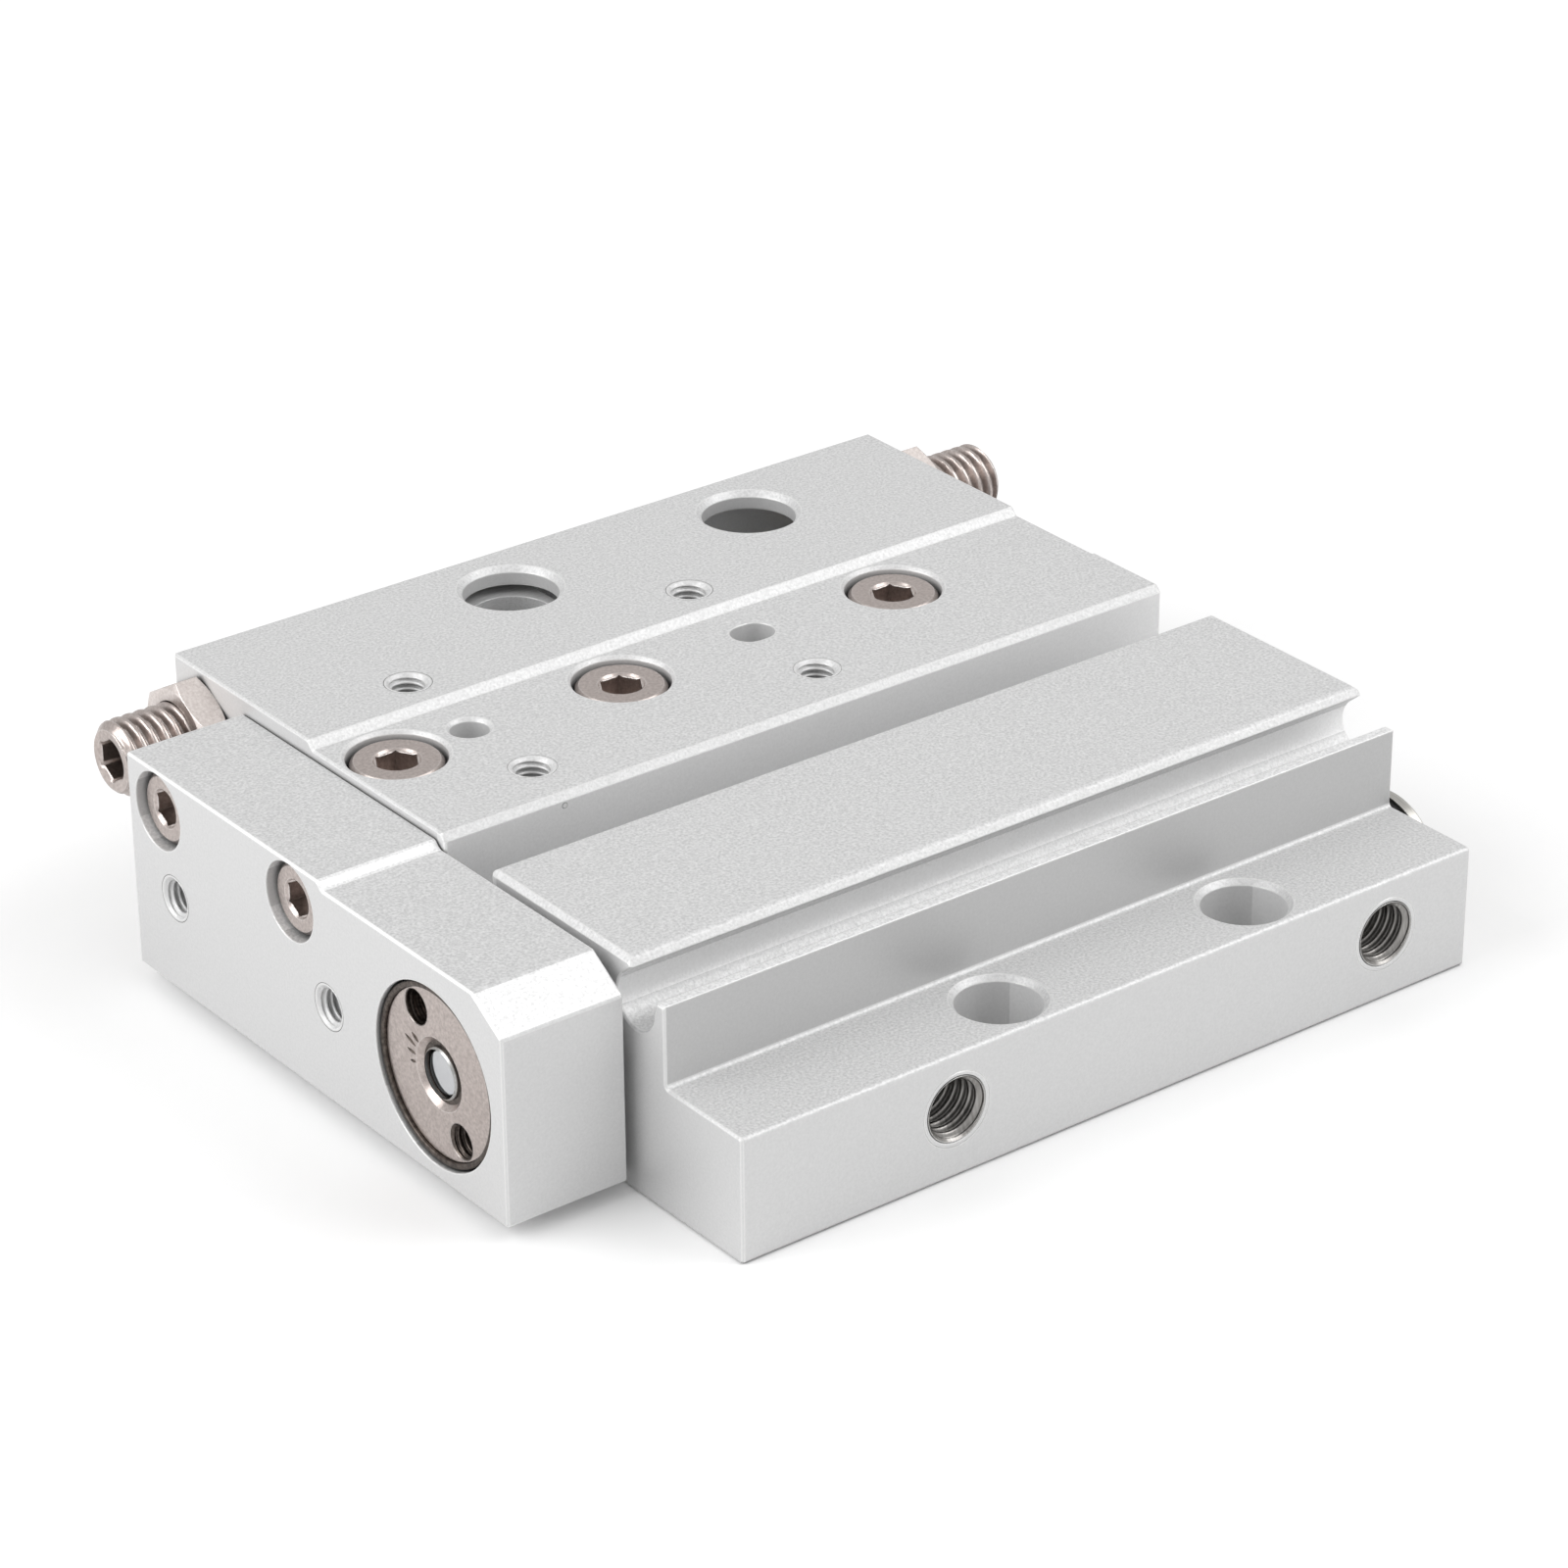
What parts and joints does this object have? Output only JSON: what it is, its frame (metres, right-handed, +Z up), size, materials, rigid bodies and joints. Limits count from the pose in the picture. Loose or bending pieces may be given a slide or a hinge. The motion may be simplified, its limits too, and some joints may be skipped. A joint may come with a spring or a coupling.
{
  "type": "pneumatic slide table",
  "caption": "Low-profile pneumatic slide table: a flat body with a built-in cylinder and a crossed-roller guide drives a drilled table and end plate, with screw stops.",
  "frame": {"origin": "middle of the four mounting holes, on the bottom face of the body", "axes": "+X points along the stroke towards the rear, +Y from the air ports to the stroke adjusters, +Z up, out of the table's top; the table moves out along -X"},
  "size_m": [0.0854, 0.0695, 0.02],
  "materials": {
    "anodised_aluminium": "bead-blasted and clear anodised",
    "machined_aluminium": "turned, plain",
    "stainless_steel": "turned and nickel-toned",
    "alloy_steel_screws": "black oxide",
    "hardened_steel": "ground",
    "spring_steel": "phosphated",
    "hard_chrome": "ground and hard chromed",
    "nitrile_rubber": "moulded, matt",
    "urethane": "moulded, satin",
    "cage_resin": "moulded, matt",
    "ferrite_magnet": "sintered, matt"
  },
  "bodies": {
    "root": {"body": "anodised_aluminium", "rod_cover": "machined_aluminium", "rod_wiper": "nitrile_rubber", "rod_seal": "nitrile_rubber", "rod_cover_o_ring": "nitrile_rubber", "rod_cover_snap_ring": "spring_steel", "rear_plug": "machined_aluminium", "rear_plug_o_ring": "nitrile_rubber", "rear_plug_snap_ring": "spring_steel", "front_bumper": "urethane", "rear_bumper": "urethane", "rear_port_plug": "stainless_steel", "rear_port_gasket": "nitrile_rubber", "near_fixed_rail": "hardened_steel", "far_fixed_rail": "hardened_steel", "fixed_rail_screws": "alloy_steel_screws", "rail_preload_screws": "alloy_steel_screws", "stopper_block": "hardened_steel", "stopper_screws": "alloy_steel_screws"},
    "table": {"table": "anodised_aluminium", "moving_rail": "hardened_steel", "table_screws": "stainless_steel", "end_plate": "anodised_aluminium", "end_plate_screws": "stainless_steel", "rod_end_nut": "stainless_steel", "floating_sleeve": "stainless_steel", "piston_rod": "hard_chrome", "piston": "machined_aluminium", "piston_seals": "nitrile_rubber", "piston_magnet": "ferrite_magnet"},
    "near_cage": {"near_roller_cage": "cage_resin", "near_rollers": "hardened_steel"},
    "far_cage": {"far_roller_cage": "cage_resin", "far_rollers": "hardened_steel"},
    "front_adjuster": {"front_adjuster_bolt": "stainless_steel", "front_adjuster_tip": "urethane"},
    "rear_adjuster": {"rear_adjuster_bolt": "stainless_steel", "rear_adjuster_tip": "urethane"},
    "front_nut": {"front_lock_nut": "stainless_steel"},
    "rear_nut": {"rear_lock_nut": "stainless_steel"}
  },
  "joints": [
    {"name": "table_slide", "type": "slide", "parent": "root", "child": "table", "axis": [-1, 0, 0], "range_m": [0, 0.03]},
    {"name": "near_cage_slide", "type": "slide", "parent": "root", "child": "near_cage", "axis": [-1, 0, 0], "range_m": [0, 0.015]},
    {"name": "far_cage_slide", "type": "slide", "parent": "root", "child": "far_cage", "axis": [-1, 0, 0], "range_m": [0, 0.015]},
    {"name": "front_adjuster_slide", "type": "slide", "parent": "table", "child": "front_adjuster", "axis": [-1, 0, 0], "range_m": [0, 0.003]},
    {"name": "rear_adjuster_slide", "type": "slide", "parent": "table", "child": "rear_adjuster", "axis": [1, 0, 0], "range_m": [0, 0.003]},
    {"name": "front_nut_turn", "type": "hinge", "parent": "front_adjuster", "child": "front_nut", "pos_m": [-0.0393, 0.0319, 0.015], "axis": [-1, 0, 0], "range_deg": [0, 120]},
    {"name": "rear_nut_turn", "type": "hinge", "parent": "rear_adjuster", "child": "rear_nut", "pos_m": [0.02965, 0.0319, 0.015], "axis": [1, 0, 0], "range_deg": [0, 120]}
  ],
  "couplings": [
    {"joint": "near_cage_slide", "follows": "table_slide", "ratio": 0.5},
    {"joint": "far_cage_slide", "follows": "table_slide", "ratio": 0.5}
  ]
}
